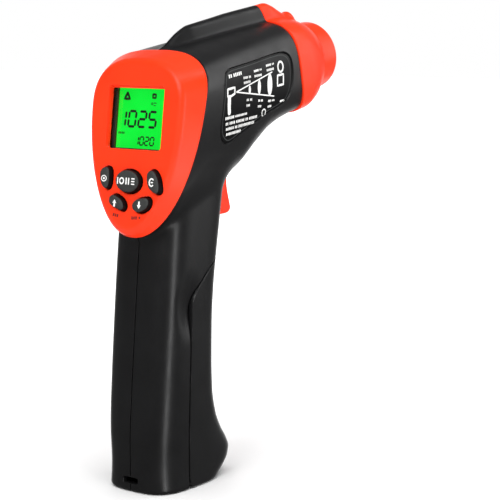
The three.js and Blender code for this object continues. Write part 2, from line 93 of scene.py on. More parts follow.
def squircle(a, b, half_a, half_b, power):
    """Distance to a superellipse along the line from its middle, negative inside."""
    r = ((np.abs(a) / half_a) ** power + (np.abs(b) / half_b) ** power) ** (1 / power)
    return np.hypot(a, b) * (1 - 1 / np.maximum(r, 1e-3))


def blend(a, b, k):
    """The union of two shapes, with a soft fillet of size k where they meet."""
    h = np.maximum(k - np.abs(a - b), 0) / k
    return np.minimum(a, b) - h * h * k / 4


def rounded_cut(a, b, r):
    """The overlap of two shapes, with a round edge of radius r."""
    return np.minimum(-r, np.maximum(a, b)) + np.hypot(np.maximum(r + a, 0), np.maximum(r + b, 0))


def between_planes(p, start, end, tilt_start, tilt_end):
    """How far along (0 to 1) and how high each point lies in a fan of leaning planes."""
    t = np.full(len(p), 0.5)
    run, lift, turn = end[0] - start[0], end[2] - start[2], tilt_end - tilt_start
    for _ in range(6):
        tilt = tilt_start + turn * t
        c, s = np.cos(tilt), np.sin(tilt)
        dx, dz = p[:, 0] - start[0] - run * t, p[:, 2] - start[2] - lift * t
        height = dx * s + dz * c
        t = np.clip(t + (dx * c - dz * s) / (run * c - lift * s + turn * height), -3, 4)
    return t, height


def egg(y, v, across, above, below, upper, lower):
    """A superellipse whose upper and lower halves have their own heights and powers."""
    up = v > 0
    return squircle(y, v, across, np.where(up, above, below), np.where(up, upper, lower))


def barrel(p):
    """Station along the barrel and height above its line."""
    c, s = math.cos(BARREL_PITCH), math.sin(BARREL_PITCH)
    x, z = p[:, 0], p[:, 2] - BARREL_RISE
    return x * c + z * s, z * c - x * s


def on_barrel(station, y, rise):
    """The point at that station along the barrel, and that far above its line."""
    c, s = math.cos(BARREL_PITCH), math.sin(BARREL_PITCH)
    return np.stack([station * c - rise * s, y + 0 * station,
                     BARREL_RISE + station * s + rise * c], -1)


def panel(p):
    """Depth behind the panel's face and height along it."""
    c, s = math.cos(PANEL_TILT), math.sin(PANEL_TILT)
    x, z = p[:, 0] - PANEL_ORIGIN[0], p[:, 2] - PANEL_ORIGIN[2]
    return x * c - z * s, x * s + z * c


def on_panel(depth, y, v):
    c, s = math.cos(PANEL_TILT), math.sin(PANEL_TILT)
    depth, y, v = np.broadcast_arrays(depth, y, v)
    return np.stack([PANEL_ORIGIN[0] + depth * c + v * s, y,
                     PANEL_ORIGIN[2] - depth * s + v * c], -1)


# How far the head reaches below its middle line, from the rim (0) to the collar (1).
UNDERSIDE = curve([[-0.2, 59], [0, 51.4], [0.25, 41.5], [0.5, 35.8], [0.625, 28.6],
                   [0.75, 22.7], [0.875, 19.9], [1, 18.7], [1.2, 18.2]])
# The ridge's top and half width along the barrel.
RIDGE = curve([[19, 9.6, 0.7], [24, 12.8, 1.7], [28.4, 15.7, 2.5], [32.2, 17.4, 3.1],
               [35.9, 18.6, 3.5], [38.7, 19.25, 3.8], [43.4, 19.5, 4], [54.7, 20, 4.3],
               [62.4, 20.4, 4.4], [84, 20.8, 4.7], [90, 20.94, 4.8]])
# The handle's back and front at each height.
HANDLE = curve([[-4, 0, 38], [1.5, 0, 41], [4, 0, 44], [7.5, 0, 47.2], [10.5, 0, 48],
                [14, 0, 46.4], [19, 0, 42.8], [26, 0.3, 39.1], [36, 1.1, 36.8],
                [48, 2.1, 36.3], [62, 3.4, 36.4], [76, 4.7, 37.4], [90, 6, 39.5],
                [102, 7.2, 41.6], [124, 9.4, 45], [140, 11, 47]])
COLLAR_CENTRE = on_barrel(np.array(COLLAR_STATION), 0, NOSE_AXIS)


def head_share(p):
    """How far along the head (0 at the rim, 1 at the collar) and how high each point lies."""
    return between_planes(p, RIM_CENTRE, COLLAR_CENTRE, RIM_TILT, -BARREL_PITCH)


def head(p):
    t, v = head_share(p)
    t = np.clip(t, -0.15, 1.15)
    across, above, below = mix(RIM_ACROSS, 19, t), mix(RIM_ABOVE, 19.5, t), UNDERSIDE(t)[0]
    return egg(p[:, 1], v, across - SKIN_INSET, above - SKIN_INSET, below - SKIN_INSET, 3,
               mix(RIM_POWER, 4.2, np.clip(t, 0, 1) ** 2))


def ridge(p):
    s, u = barrel(p)
    top, across = RIDGE(s)
    body = squircle(p[:, 1], u - RIDGE_MIDDLE, across, top - RIDGE_MIDDLE, 2.4)
    return np.maximum(body, RIDGE_BACK - s)


def handle(p):
    back, front = HANDLE(p[:, 2])
    body = squircle(p[:, 0] - (back + front) / 2, p[:, 1], (front - back) / 2, HALF_WIDTH, 3.2)
    return rounded_cut(rounded_cut(body, -p[:, 2], 1.5), p[:, 2] - HANDLE_TOP, 2)


def housing_skin(p):
    return blend(blend(head(p), ridge(p), 3.5), handle(p), 6)


def smooth_path(points, steps, closed=False):
    """A Catmull-Rom curve through the points."""
    points = np.array(points, float)
    if closed:
        points = np.vstack([points[-1:], points, points[:2]])
    else:
        points = np.vstack([2 * points[:1] - points[1:2], points, 2 * points[-1:] - points[-2:-1]])
    u = np.linspace(0, 1, steps, endpoint=False)[:, None]
    parts = []
    for a, b, c, d in zip(points, points[1:], points[2:], points[3:]):
        parts.append(0.5 * (2 * b + (c - a) * u + (2 * a - 5 * b + 4 * c - d) * u ** 2
                            + (3 * b - a - 3 * c + d) * u ** 3))
    if not closed:
        parts.append(points[-2:-1])
    return np.vstack(parts)


def to_line(q, line, closed=False):
    """Distance from 2D points to a line of points, positive on its right-hand side."""
    a = line if closed else line[:-1]
    b = np.roll(line, -1, 0) if closed else line[1:]
    best = np.full(len(q), 1e9)
    side = np.ones(len(q))
    for start, end in zip(a, b):
        along = end - start
        rel = q - start
        share = np.clip((rel @ along) / (along @ along), 0, 1)
        off = rel - share[:, None] * along
        d = np.hypot(off[:, 0], off[:, 1])
        cross = along[1] * rel[:, 0] - along[0] * rel[:, 1]
        closer = d < best - 1e-9
        best = np.where(closer, d, best)
        side = np.where(closer, np.sign(cross), side)
    return best * side


def rounded_box(a, b, half_a, half_b, radius):
    """Distance to a rectangle with round corners, negative inside."""
    qa, qb = np.abs(a) - half_a + radius, np.abs(b) - half_b + radius
    outside = np.hypot(np.maximum(qa, 0), np.maximum(qb, 0))
    return outside + np.minimum(np.maximum(qa, qb), 0) - radius


def flipped(field):
    """The same field with its inside and outside changed over."""
    return lambda p: -field(p)


# ---------- meshes from shape functions ----------
def surface(field, low, high, pitch):
    """Vertices and triangles of the surface where field is zero."""
    low = np.array(low, float)
    count = np.ceil((np.array(high) - low) / pitch / 4).astype(int) * 4 + 1
    # A coarse grid shows where the surface is, and only the points near it are worked out.
    coarse = [np.arange(0, n, 4) for n in count]
    spots = np.stack(np.meshgrid(*coarse, indexing="ij"), -1).reshape(-1, 3)
    rough = field(low + spots * pitch).reshape([len(c) for c in coarse])
    nearest = [np.minimum((np.arange(n) + 2) // 4, len(c) - 1) for n, c in zip(count, coarse)]
    full = rough[np.ix_(*nearest)]
    near = np.abs(full) < 6 * pitch + 1.5
    limit = 3 * pitch
    values = np.clip(full, -limit, limit)
    index = np.argwhere(near)
    values[near] = np.clip(field(low + index * pitch), -limit, limit)
    grid = openvdb.FloatGrid(background=limit)
    grid.copyFromArray(values)
    points, quads = grid.convertToQuads(0.0)
    v = low + points.astype(float) * pitch
    t = np.vstack([quads[:, [0, 1, 2]], quads[:, [0, 2, 3]]]).astype(int)
    for _ in range(2):
        v = settle(field, relax(v, quads), pitch)
    v = settle(field, v, pitch)
    a, b, c = v[t[:, 0]], v[t[:, 1]], v[t[:, 2]]
    if (np.cross(b - a, c - a) * gradient(field, (a + b + c) / 3)).sum() < 0:
        t = t[:, ::-1]
    return v, t


def relax(v, quads):
    """Moves each point towards the middle of its neighbours."""
    total, count = np.zeros_like(v), np.zeros(len(v))
    for k in range(4):
        a, b = quads[:, k], quads[:, (k + 1) % 4]
        np.add.at(total, a, v[b])
        np.add.at(count, a, 1)
        np.add.at(total, b, v[a])
        np.add.at(count, b, 1)
    return mix(v, total / count[:, None], 0.6)


def gradient(field, v, step=0.03):
    parts = []
    for axis in range(3):
        shift = np.zeros(3)
        shift[axis] = step
        parts.append(field(v + shift) - field(v - shift))
    return np.stack(parts, -1) / (2 * step)


def settle(field, v, reach=1.0, times=2):
    """Moves points onto the surface where field is zero."""
    for _ in range(times):
        g = gradient(field, v)
        step = (field(v) / np.maximum((g * g).sum(1), 0.05))[:, None] * g
        length = np.linalg.norm(step, axis=1, keepdims=True)
        v = v - step * np.minimum(1, reach / np.maximum(length, 1e-9))
    return v


def normals_of(field, v):
    return unit(gradient(field, v))


def slice_along(v, t, field, level, skin=None):
    """Splits triangles along the line where field equals level."""
    g = field(v) - level
    g[np.abs(g) < 0.02] = 0
    side = np.sign(g)[t]
    crossing = side * side[:, [1, 2, 0]] < 0
    count = crossing.sum(1)
    if not count.any():
        return v, t
    lone = np.where(crossing[:, 0] & crossing[:, 2], 0,
                    np.where(crossing[:, 0] & crossing[:, 1], 1, 2))
    first = np.where(count == 2, lone, np.argmax(crossing, 1))
    turned = t[np.arange(len(t))[:, None], (first[:, None] + np.arange(3)) % 3]
    two, one = turned[count == 2], turned[count == 1]
    edges = np.sort(np.vstack([two[:, [0, 1]], two[:, [2, 0]], one[:, [0, 1]]]), 1)
    ends, where = np.unique(edges, axis=0, return_inverse=True)
    where = where.reshape(-1)
    share = (g[ends[:, 0]] / (g[ends[:, 0]] - g[ends[:, 1]]))[:, None]
    fresh = mix(v[ends[:, 0]], v[ends[:, 1]], share)
    if skin is not None:
        fresh = settle(skin, fresh, 0.3, 1)
    where = where + len(v)
    p, q, r = where[:len(two)], where[len(two):2 * len(two)], where[2 * len(two):]
    parts = [t[count == 0],
             np.stack([two[:, 0], p, q], 1), np.stack([p, two[:, 1], two[:, 2]], 1),
             np.stack([p, two[:, 2], q], 1),
             np.stack([one[:, 0], r, one[:, 2]], 1), np.stack([r, one[:, 1], one[:, 2]], 1)]
    return np.vstack([v, fresh]), np.vstack(parts)


def keep(v, t, field, level):
    """The triangles whose middle lies where field is above level."""
    return t[field(v[t].mean(1)) > level]


def compact(v, t):
    """The mesh without the points that no triangle uses."""
    used, t = np.unique(t, return_inverse=True)
    return v[used], t.reshape(-1, 3)


def trimmed(v, t, cuts, skin, edge=0.25):
    """Cuts a skin back to where every field in cuts is above its level, with rounded edges."""
    for field, level in cuts:
        for extra in (0, 0.4 * edge, edge):
            v, t = slice_along(v, t, field, level + extra, skin)
        t = keep(v, t, field, level)
        v, t = compact(v, t)
    inside = np.min([np.clip(field(v) - level, 0, edge) for field, level in cuts], axis=0)
    depth = edge - np.sqrt(np.maximum(edge ** 2 - (edge - inside) ** 2, 0))
    n = normals_of(skin, v)
    return v - n * depth[:, None], t, n


def rim_edges(t):
    """Edges that only one triangle uses, in that triangle's direction."""
    edges = np.vstack([t[:, [0, 1]], t[:, [1, 2]], t[:, [2, 0]]])
    key = np.sort(edges, 1)
    _, where, count = np.unique(key, axis=0, return_inverse=True, return_counts=True)
    return edges[count[where.reshape(-1)] == 1]


def sheet(front, back, t):
    """An open skin and its copy behind it, closed round their rims."""
    size = len(front)
    rims = rim_edges(t)
    side = np.vstack([np.stack([rims[:, 1], rims[:, 0], rims[:, 0] + size], 1),
                      np.stack([rims[:, 1], rims[:, 0] + size, rims[:, 1] + size], 1)])
    return np.vstack([front, back]), np.vstack([t, t[:, ::-1] + size, side])


def shell(v, t, n, thickness):
    return sheet(v, v - n * thickness, t)


def joined(*meshes):
    vertices, faces, start = [], [], 0
    for v, t in meshes:
        vertices.append(v)
        faces.append(np.array(t) + start)
        start += len(v)
    return np.vstack(vertices), np.vstack(faces)


def loft(rings, looped=False):
    """Triangles through rings of equal count, back to the first ring or with flat ends."""
    count, last = len(rings[0]), len(rings) - 1
    v = np.vstack(rings)
    i = np.arange(count)
    j = (i + 1) % count
    faces = []
    for r in range(last + looped):
        a, b = r * count, (r + 1) % len(rings) * count
        faces += [np.stack([a + i, a + j, b + j], 1), np.stack([a + i, b + j, b + i], 1)]
    if not looped:
        for start in (0, last * count):
            v = np.vstack([v, v[start:start + count].mean(0)])
            fan = np.stack([start + i, start + j, np.full(count, len(v) - 1)], 1)
            faces.append(fan if start else fan[:, ::-1])
    return v, np.vstack(faces)


def turned(axis, profile, sides=48, looped=False):
    """A lathe shape: axis is its start and direction, profile its (radius, distance) points."""
    start, along = (np.array(part, float) for part in axis)
    along = unit(along)
    first = unit(np.cross(along, [0, 0, 1] if abs(along[2]) < 0.9 else [1, 0, 0]))
    second = np.cross(along, first)
    angle = np.linspace(0, 2 * np.pi, sides, endpoint=False)[:, None]
    circle = np.cos(angle) * first + np.sin(angle) * second
    return loft([start + along * d + circle * r for r, d in profile], looped)


def tube(points, radius, sides=12):
    """A round wire through the points."""
    path = smooth_path(points, 8)
    along = unit(np.gradient(path, axis=0))
    across = np.cross(along[0], [0.3, 1, 0.2])
    angle = np.linspace(0, 2 * np.pi, sides, endpoint=False)[:, None]
    rings = []
    for spot, ahead in zip(path, along):
        across = unit(across - ahead * (across @ ahead))
        other = np.cross(ahead, across)
        rings.append(spot + radius * (np.cos(angle) * across + np.sin(angle) * other))
    return loft(rings)


# ---------- pieces ----------
def placed(name, data):
    thing = bpy.data.objects.new(name, data)
    bpy.context.scene.collection.objects.link(thing)
    return thing


def piece(name, mesh, look, body="instrument", stands_for=None):
    """Makes a mesh in metres, which rides on a body and may stand for a CAD node."""
    v, t = mesh
    v = np.array(v, float)
    data = bpy.data.meshes.new(name)
    metres = (v - [FOOT_CENTRE, 0, 0]) / 1000
    data.from_pydata(metres.tolist(), [], np.array(t).tolist())
    data.validate()
    data.shade_smooth()
    data.set_sharp_from_angle(angle=SHARP_EDGE)
    data.materials.append(look)
    shape = placed(name, data)
    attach(shape, body)
    if stands_for:
        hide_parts(stands_for)
    return shape


# ---------- materials ----------
def srgb(r, g, b):
    def linear(c):
        c /= 255
        return c / 12.92 if c <= 0.04045 else ((c + 0.055) / 1.055) ** 2.4
    return (linear(r), linear(g), linear(b), 1)


class Nodes:
    """The node tree of a material or of the world."""

    def __init__(self, owner):
        owner.use_nodes = True
        self.nodes = owner.node_tree.nodes
        self.links = owner.node_tree.links

    def set(self, node, **inputs):
        """Gives inputs a value or another node's output; _ stands for a space in their names."""
        for key, value in inputs.items():
            socket = node.inputs[key.replace("_", " ")]
            if isinstance(value, bpy.types.NodeSocket):
                self.links.new(value, socket)
            else:
                socket.default_value = value

    def node(self, kind, data_type=None, **inputs):
        node = self.nodes.new("ShaderNode" + kind)
        if data_type:
            node.data_type = data_type
        self.set(node, **inputs)
        return node

    def mixed(self, factor, first, second):
        node = self.node("MixShader", Fac=factor)
        self.links.new(first.outputs[0], node.inputs[1])
        self.links.new(second.outputs[0], node.inputs[2])
        return node.outputs["Shader"]


class Look(Nodes):
    """A material: its shader, and textures laid out in the object's own space."""

    def __init__(self, name, color, roughness, **values):
        self.material = bpy.data.materials.new(name)
        super().__init__(self.material)
        self.shader = self.nodes["Principled BSDF"]
        self.set(self.shader, Base_Color=color, Roughness=roughness, **values)
        self.place = self.node("TexCoord").outputs["Object"]

    def noise(self, scale, detail, stretch=(1, 1, 1)):
        place = self.node("Mapping", Scale=stretch, Vector=self.place).outputs["Vector"]
        return self.node("TexNoise", Scale=scale, Detail=detail, Vector=place).outputs["Fac"]

    def spread(self, value, low, high, start=0.3, end=0.7):
        """Stretches the range from start to end until it runs from low to high."""
        return self.node("MapRange", Value=value, From_Min=start, From_Max=end, To_Min=low,
                         To_Max=high).outputs["Result"]

    def tone(self, value, first, second):
        return self.node("Mix", "RGBA", A=first, B=second, Factor=value).outputs["Result"]

    def bump(self, value, strength, distance):
        return self.node("Bump", Strength=strength, Distance=distance,
                         Height=value).outputs["Normal"]


GRAIN_DEPTH = 0.00002


def moulded(name, first, second, roughness, grain=2600, strength=0.12, specular=0.5):
    """Moulded plastic: a fine spark-eroded grain and slow changes of tone and gloss."""
    first, second = srgb(*first), srgb(*second)
    look = Look(name, first, roughness, Specular_IOR_Level=specular)
    look.set(look.shader, Base_Color=look.tone(look.spread(look.noise(60, 4), 0, 1), first, second),
             Roughness=look.spread(look.noise(140, 5), roughness - 0.04, roughness + 0.05),
             Normal=look.bump(look.noise(grain, 2), strength, GRAIN_DEPTH))
    return look.material


def metal(name, color, roughness, stretch=(1, 1, 1)):
    """Machined or drawn metal, with fine marks running one way."""
    look = Look(name, color, roughness, Metallic=1.0)
    marks = look.noise(900, 4, stretch)
    look.set(look.shader, Roughness=look.spread(marks, roughness - 0.06, roughness + 0.1),
             Normal=look.bump(marks, 0.08, GRAIN_DEPTH))
    return look.material


black = moulded("black_plastic", (13, 13, 14), (18, 18, 19), 0.34, specular=0.42)
orange = moulded("orange_plastic", (247, 55, 19), (242, 50, 16), 0.34, strength=0.07, specular=0.22)
key_rubber = moulded("key_rubber", (46, 47, 46), (52, 53, 52), 0.6, grain=3400, strength=0.2,
                     specular=0.3)
# Painted shade: a darker copy of the key rubber, for the sides of each key cap, which lie in the
# shade of the gap round the key.
key_painted_shade = moulded("key_painted_shade", (7, 7, 7), (11, 11, 11), 0.55, grain=3400, strength=0.2,
                   specular=0.15)
dark_trim = moulded("dark_trim", (14, 14, 15), (19, 19, 20), 0.5, specular=0.3)
label_film = moulded("label_film", (5, 5, 6), (8, 8, 9), 0.34, grain=5000, strength=0.05,
                     specular=0.14)
ink = moulded("white_ink", (236, 236, 234), (226, 226, 224), 0.5, grain=4200, strength=0.1)
faded_ink = moulded("faded_ink", (110, 26, 16), (100, 22, 14), 0.5, strength=0.1)
soft_black = moulded("soft_black", (24, 24, 24), (31, 31, 31), 0.75, grain=3000, strength=0.3)
grey_frame = moulded("grey_frame", (58, 60, 60), (64, 66, 66), 0.5, specular=0.2)
steel = metal("steel", (0.58, 0.59, 0.6, 1), 0.3)
aluminium = metal("aluminium", (0.74, 0.75, 0.76, 1), 0.34, (1, 1, 30))
brass = metal("brass", (0.72, 0.5, 0.2, 1), 0.28, (1, 30, 1))
board_green = moulded("board_green", (22, 84, 44), (28, 98, 52), 0.42, grain=1500, strength=0.25)
wire_red = moulded("wire_red", (178, 20, 18), (160, 16, 15), 0.45)
wire_black = moulded("wire_black", (18, 18, 18), (25, 25, 25), 0.45)
wire_grey = moulded("wire_grey", (110, 112, 114), (96, 98, 100), 0.45)
diffuser = moulded("diffuser", (232, 236, 228), (220, 226, 216), 0.5)
infrared_glass = moulded("infrared_glass", (92, 88, 84), (80, 76, 72), 0.12, strength=0.02)


def lit_glass():
    """The lit liquid crystal panel: an even green glow with a faint cloud in it."""
    look = Look("lit_glass", srgb(10, 200, 50), 0.3, Specular_IOR_Level=0.05,
                Emission_Strength=0.92)
    cloud = look.spread(look.noise(70, 2), 0, 1)
    look.set(look.shader, Base_Color=look.tone(cloud, srgb(2, 120, 26), srgb(4, 130, 32)),
             Emission_Color=look.tone(cloud, srgb(1, 232, 50), srgb(6, 242, 60)))
    return look.material


def clear_window():
    """Clear acrylic: nearly all of the view passes, with a faint reflection on top."""
    look = Look("clear_window", (0.9, 0.95, 0.92, 1), 0.06)
    see = look.node("BsdfTransparent", Color=(0.96, 0.98, 0.97, 1))
    smear = look.bump(look.noise(300, 2), 0.03, 0.0001)
    gloss = look.node("BsdfGlossy", Roughness=0.04, Normal=smear)
    edge = look.node("Fresnel", IOR=1.25).outputs["Fac"]
    look.set(look.nodes["Material Output"], Surface=look.mixed(edge, see, gloss))
    look.nodes.remove(look.shader)
    return look.material


def battery_wrap():
    """A printed metal can: black at the foot, bare silver, and red at the top."""
    look = Look("battery_wrap", srgb(150, 150, 150), 0.28, Metallic=0.6)
    height = look.node("SeparateXYZ", Vector=look.place).outputs["Z"]
    bands = look.node("ValToRGB", Fac=look.spread(height, 0, 1, 0.008, 0.055))
    bands.color_ramp.interpolation = "CONSTANT"
    ramp = bands.color_ramp.elements
    ramp[0].color = srgb(20, 20, 20)
    ramp[1].position, ramp[1].color = 0.34, srgb(196, 198, 200)
    ramp.new(0.72).color = srgb(190, 14, 22)
    look.set(look.shader, Base_Color=bands.outputs["Color"],
             Roughness=look.spread(look.noise(60, 4, (1, 1, 6)), 0.26, 0.32),
             Normal=look.bump(look.noise(500, 2), 0.02, 0.00001))
    return look.material


lit, clear, wrap = lit_glass(), clear_window(), battery_wrap()

# ---------- housing ----------
DOOR_LINE = smooth_path([[15.7, -6], [15.7, -2], [15.7, 12], [15.7, 25], [16.6, 47], [17.3, 63],
                         [17.6, 70], [20, 75.8], [27, 82.5], [33, 86.3], [41, 89], [50, 91]], 6)
HINGE = (20.5, 4.6)
ARM_MIDDLE = 7.75
SCREWS = [(33, 163), (73, 167), (70, 140), (31, 95.5), (13, 75)]
PLATE = smooth_path([[28.8, 156.9], [31.4, 158.4], [36, 159.2], [47.3, 160.8], [58.2, 162.6],
                     [68, 164], [72.6, 164.1], [75.8, 163], [77.6, 160.6], [78.3, 157], [78.1, 153],
                     [77.2, 149.6], [75.4, 146.8], [72.6, 144.9], [66.7, 143], [58.6, 140.9],
                     [49.4, 137.6], [40.4, 134], [34.5, 131.5], [31.5, 131.1], [28.4, 132.6],
                     [26.5, 135.1], [26, 139.2], [26.8, 147.4], [27.6, 153.4]], 4, True)
SEAM_STATION, SEAM_LEAN = 84.5, 0.08  # the collar's seam leans back as it rises
HEAD_LENGTH = 70
HALF_GAP, DOOR_GAP = 0.2, 0.42
LIP = 0.6
POCKET_DEPTH = 1.0


def in_door(p):
    return to_line(p[:, [0, 2]], DOOR_LINE)


def in_heel(p):
    """The door's heel is round about its hinge, so that it clears the housing as it swings."""
    x, z = p[:, 0] - HINGE[0], p[:, 2] - HINGE[1]
    return np.where((x < 0) & (z < 0), HINGE[1] - np.hypot(x, z), FAR)


def arm_slot(p):
    slot = rounded_box(np.abs(p[:, 1]) - ARM_MIDDLE, p[:, 0] - 16.4, 1.85, 6.5, 0.3)
    return np.where(p[:, 2] < 4, slot, FAR)


def scooped(p):
    """The housing's skin with the finger scoops beside the door's seam."""
    deep = 2.7
    q = (p - [16.2, 0, 70]) * [1 / 5.5, 1, 1 / 9.5]
    side = (np.abs(p[:, 1]) - 17.5) / deep
    r = np.sqrt(q[:, 0] ** 2 + q[:, 2] ** 2 + side ** 2)
    return -blend(-housing_skin(p), (r - 1) * deep, 2)


def strap_slot(p):
    hole = rounded_box(p[:, 1], p[:, 2] - 4.6, 3.6, 1.1, 0.5)
    return np.where(p[:, 0] < 4, hole, FAR)


def trigger_slot(p):
    hole = rounded_box(p[:, 1], p[:, 2] - 113.4, 5.4, 12.6, 1.2)
    return np.where(p[:, 0] > 32, hole, FAR)


def outer_y(x, z):
    """How far out the left side of the skin is at that place."""
    y = np.linspace(30, 0, 3001)
    spots = np.stack([np.full_like(y, x), y, np.full_like(y, z)], -1)
    return y[np.argmax(housing_skin(spots) < 0)]


def screw_holes(p):
    nearest = np.min([np.hypot(p[:, 0] - x, p[:, 2] - z) for x, z in SCREWS], axis=0)
    return np.where(p[:, 1] > 0, nearest - 3, FAR)


def off_plate(p):
    """Distance outside the spec plate's outline, on the right side."""
    return np.where(p[:, 1] < -8, -to_line(p[:, [0, 2]], PLATE, True), FAR)


def from_rim(p):
    """How far forward of the rim, on the scale of the head's length."""
    return head_share(p)[0] * HEAD_LENGTH


def past_seam(p):
    """How far forward of the seam between the housing and the collar."""
    station, rise = barrel(p)
    return station - SEAM_STATION + SEAM_LEAN * (rise - NOSE_AXIS)


def hinge_arms(side):
    """The bar and the round knuckle that hold one end of the hinge pin."""
    x, z = HINGE
    low = np.array([8, side * ARM_MIDDLE - 1.5, z - 1.9])
    high = np.array([x, side * ARM_MIDDLE + 1.5, z + 1.3])

    def bar(p):
        a, b, c = (np.abs(p - (low + high) / 2) - (high - low) / 2).T
        return rounded_cut(rounded_cut(a, b, 0.4), c, 0.4)

    knuckle = turned(((x, side * 6.25, z), (0, side, 0)), [(2.6, 0), (3, 0.4), (3, 2.6), (2.6, 3)])
    return joined(surface(bar, low - 1, high + 1, 0.35), knuckle)


def lip(v, t, cuts, skin):
    """A strip behind a seam, just inside the wall."""
    v, t, n = trimmed(v, t, cuts, skin)
    return shell(v - n * (WALL + 0.02), t, n, LIP)


def screw_sleeve(x, z):
    """The wall of a screw's hole, kept below the skin."""
    out = outer_y(x, z)
    v, t = turned(((x, 0, z), (0, 1, 0)),
                  [(3.7, out - 5.4), (3.7, out - 1), (3.05, out - 1), (3.05, out - 4.2)])
    high = housing_skin(v) > -0.9
    v[high] = settle(lambda p: housing_skin(p) + 0.9, v[high])
    return v, t


skin_v, skin_t = surface(housing_skin, (-3, -29, -2), (92, 29, 188), 0.8)
pocket_v, pocket_t = settle(scooped, skin_v, 0.8, 3), skin_t
for level in (0.12, 0.35, 0.55):
    pocket_v, pocket_t = slice_along(pocket_v, pocket_t, off_plate, level, scooped)
housing_cuts = [(from_rim, 0.35), (flipped(past_seam), 0), (flipped(in_door), DOOR_GAP),
                (strap_slot, 0), (trigger_slot, 0), (screw_holes, 0)]
door_seam_strip = [(lambda p: 0.9 - np.abs(in_door(p) + 0.1), 0), (lambda p: p[:, 2] - 14, 0)]

for side, name in ((1, "housing_left"), (-1, "housing_right")):
    own_side = (lambda p: side * p[:, 1], HALF_GAP)
    v, t, n = trimmed(pocket_v, pocket_t, [own_side] + housing_cuts, scooped, 0.3)
    v = v - n * POCKET_DEPTH * np.clip((0.5 - off_plate(v)) / 0.35, 0, 1)[:, None]
    parts = [shell(v, t, n, WALL), hinge_arms(side)]
    if side > 0:
        parts += [screw_sleeve(x, z) for x, z in SCREWS]
    else:
        middle_strip = (lambda p: 1 - np.abs(p[:, 1]), 0)
        parts.append(lip(skin_v, skin_t, [middle_strip] + housing_cuts, housing_skin))
    parts.append(lip(pocket_v, pocket_t, door_seam_strip + [own_side, (trigger_slot, 0)], scooped))
    piece(name + "_shell", joined(*parts), black, stands_for=name)

v, t, n = trimmed(skin_v, skin_t, [(in_door, 0.12), (in_heel, 0), (arm_slot, 0)], housing_skin)
ears = [turned(((HINGE[0], side * 9.6, HINGE[1]), (0, side, 0)),
               [(2.8, 0), (3.2, 0.4), (3.2, 2.6), (2.8, 3)]) for side in (1, -1)]
piece("battery_door_shell", joined(shell(v, t, n, WALL), *ears), black, "door", "battery_door")

# ---------- spec plate and its print ----------
FILM_DEPTH = 0.45


def on_film(x, z, out):
    """Points on the film at the head's right side, moved outwards by out."""
    near, far = np.full(x.shape, -34.0), np.full(x.shape, -6.0)
    for _ in range(30):
        middle = (near + far) / 2
        inside = housing_skin(np.stack([x, middle, z], -1)) < 0
        near, far = np.where(inside, near, middle), np.where(inside, middle, far)
    p = np.stack([x, (near + far) / 2, z], -1)
    return p + (out - FILM_DEPTH) * normals_of(housing_skin, p)


def stroke(points, width):
    """A flat band of that width along a 2D line, with round ends."""
    points = np.array(points, float)
    fine = [points[0]]
    for a, b in zip(points, points[1:]):
        steps = max(2, int(np.hypot(*(b - a)) / 1.2) + 2)
        fine += [a + (b - a) * k for k in np.linspace(0, 1, steps)[1:]]
    fine = np.array(fine)
    along = unit(np.gradient(fine, axis=0))
    across = np.stack([-along[:, 1], along[:, 0]], -1) * width / 2
    tips = [fine[0] - along[0] * width * 0.35, fine[-1] + along[-1] * width * 0.35]
    left = np.vstack([tips[0] + across[0] * 0.5, fine + across, tips[1] + across[-1] * 0.5])
    right = np.vstack([tips[0] - across[0] * 0.5, fine - across, tips[1] - across[-1] * 0.5])
    count = len(left)
    k = np.arange(count - 1)
    faces = np.vstack([np.stack([k, k + count, k + count + 1], 1),
                       np.stack([k, k + count + 1, k + 1], 1)])
    return np.vstack([left, right]), faces


def patch(outline):
    """A filled convex 2D shape."""
    outline = np.array(outline, float)
    count = len(outline)
    k = np.arange(count)
    rings = np.vstack([outline, mix(outline, outline.mean(0), 0.5), outline.mean(0)[None]])
    j = (k + 1) % count
    faces = np.vstack([np.stack([k, j, j + count], 1), np.stack([k, j + count, k + count], 1),
                       np.stack([k + count, j + count, np.full(count, 2 * count)], 1)])
    return rings, faces


def oval(a, b, half_a, half_b, turn=0, count=24):
    """The points of an ellipse about (a, b)."""
    angle = np.linspace(0, 2 * np.pi, count, endpoint=False)
    c, s = math.cos(turn), math.sin(turn)
    u, w = half_a * np.cos(angle), half_b * np.sin(angle)
    return np.stack([a + u * c - w * s, b + u * s + w * c], -1)


def closed(points):
    return np.vstack([points, points[:1]])


def words(start, end, height, lengths):
    """A row of small blocks in place of words, whose lengths say how the line is shared."""
    start, end = np.array(start, float), np.array(end, float)
    long = np.linalg.norm(end - start)
    along = (end - start) / long
    up = np.array([-along[1], along[0]])
    share = long / (sum(lengths) + 0.3 * (len(lengths) - 1))
    at, blocks = 0, []
    for length in lengths:
        count = max(1, round(length * share / (0.8 * height)))
        for k in range(count):
            spot = start + along * (at + (k + 0.5) * length / count) * share
            half_up = height * (0.46, 0.36, 0.42, 0.34)[(len(blocks) + k) % 4]
            half_along = 0.27 * height
            corners = [spot + along * i * half_along + up * j * half_up
                       for i, j in ((-1, -1), (1, -1), (1, 1), (-1, 1))]
            blocks.append(patch(corners))
        at += length + 0.3
    return blocks


def printed(name, shapes, place, look, body="instrument"):
    """Thin ink: each 2D shape is laid on the surface that place describes, and given a back."""
    meshes = []
    for flat, faces in shapes:
        top, under = (place(flat[:, 0], flat[:, 1], out) for out in (0.03, -0.02))
        meshes.append(sheet(top, under, faces))
    return piece(name, joined(*meshes), look, body)


v, t, n = trimmed(pocket_v, pocket_t, [(flipped(off_plate), 0.05)], scooped, 0.2)
piece("spec_plate_film", shell(v - n * FILM_DEPTH, t, n, 0.4), label_film, stands_for="spec_plate")

